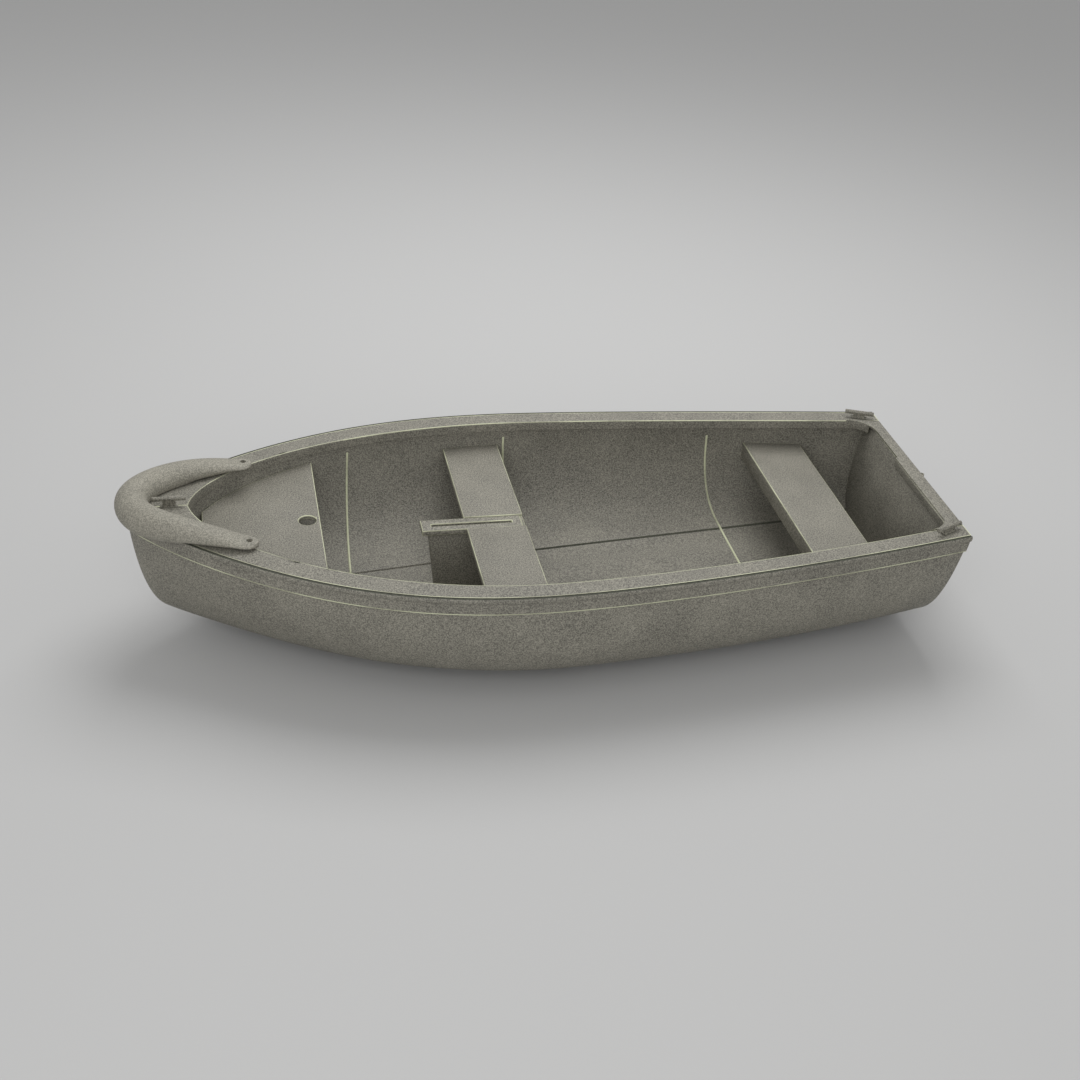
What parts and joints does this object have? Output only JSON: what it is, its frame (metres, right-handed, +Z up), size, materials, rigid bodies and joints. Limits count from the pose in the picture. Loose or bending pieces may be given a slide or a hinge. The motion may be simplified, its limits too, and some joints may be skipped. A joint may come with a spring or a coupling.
{
  "type": "sailing dinghy hull",
  "caption": "Open round-bilged sailing dinghy moulded in two skins, with a gunwale moulding, bow fender, two thwarts, a bow seat with a mast hole, a centreboard case, cleats and rudder gudgeons.",
  "frame": {"origin": "on the ground under the boat, at the middle of its overall length, on the centre plane", "axes": "+X forward to the bow, +Y to port, +Z up"},
  "size_m": [2.868, 1.2166, 0.5699],
  "materials": {
    "hull": "satin grey-olive moulded outer skin, finely grained",
    "liner": "matt grey-olive inner moulding",
    "trim": "moulded grey-olive gunwale, matt",
    "seats": "moulded grey-olive seats, matt",
    "fittings": "moulded fittings in the boat's colour",
    "fender": "soft pale grey-olive fender"
  },
  "bodies": {
    "root": {"hull_shell": "hull", "inner_liner": "liner", "transom": "hull", "inner_transom": "liner", "gunwale_port": "trim", "gunwale_starboard": "trim", "stern_capping": "trim", "rub_rail_port": "trim", "rub_rail_starboard": "trim", "bow_seat": "seats", "mast_step": "seats", "centre_thwart": "seats", "centreboard_case": "hull", "case_cap": "seats", "aft_thwart": "seats", "rib_fore": "liner", "rib_mid": "liner", "rib_aft": "liner", "bow_fender": "fender", "bow_cleat": "fittings", "stern_cleat_port": "fittings", "stern_cleat_starboard": "fittings", "gudgeon_upper": "fittings", "gudgeon_lower": "fittings", "keel_strip": "hull", "bilge_runner_port": "hull", "bilge_runner_starboard": "hull", "drain_plug": "fittings"}
  },
  "joints": []
}
